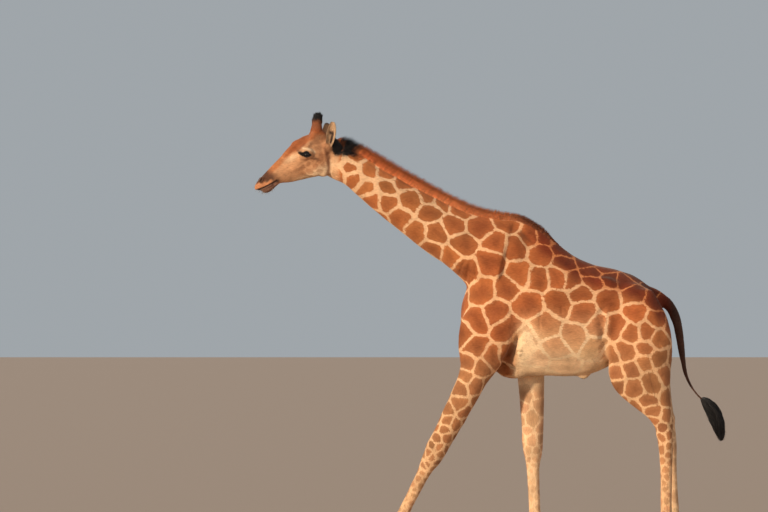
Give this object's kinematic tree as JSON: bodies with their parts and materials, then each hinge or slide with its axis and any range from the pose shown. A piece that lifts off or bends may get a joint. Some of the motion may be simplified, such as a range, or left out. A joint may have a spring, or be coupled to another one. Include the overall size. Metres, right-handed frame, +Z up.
{
  "type": "giraffe figure",
  "caption": "Life-size still figure of a young southern giraffe walking, neck held forward and muzzle low, standing on its cloven hooves.",
  "frame": {"origin": "middle of the model's box, on the floor the hooves stand on", "axes": "the head points along -X, the animal's left side is -Y, +Z up"},
  "size_m": [2.9778, 0.5072, 2.8313],
  "materials": {
    "coat": "short hair, chestnut patches on cream",
    "pale_coat": "short cream hair",
    "mane_hair": "stiff upright hair",
    "dark_hair": "long coarse hair",
    "claw_horn": "dull dark horn",
    "eye": "wet, nearly black"
  },
  "bodies": {
    "root": {"head": "coat", "lower_jaw": "coat", "neck": "coat", "trunk": "coat", "foreleg_left": "coat", "foreleg_right": "coat", "hindleg_left": "coat", "hindleg_right": "coat", "tail": "coat", "mane": "mane_hair", "tail_tuft": "dark_hair", "ossicone_left": "coat", "ear_left": "pale_coat", "eye_left": "eye", "claw_fore_left_inner": "claw_horn", "claw_fore_left_outer": "claw_horn", "claw_hind_left_inner": "claw_horn", "claw_hind_left_outer": "claw_horn", "ossicone_right": "coat", "ear_right": "pale_coat", "eye_right": "eye", "claw_fore_right_inner": "claw_horn", "claw_fore_right_outer": "claw_horn", "claw_hind_right_inner": "claw_horn", "claw_hind_right_outer": "claw_horn"}
  },
  "joints": []
}
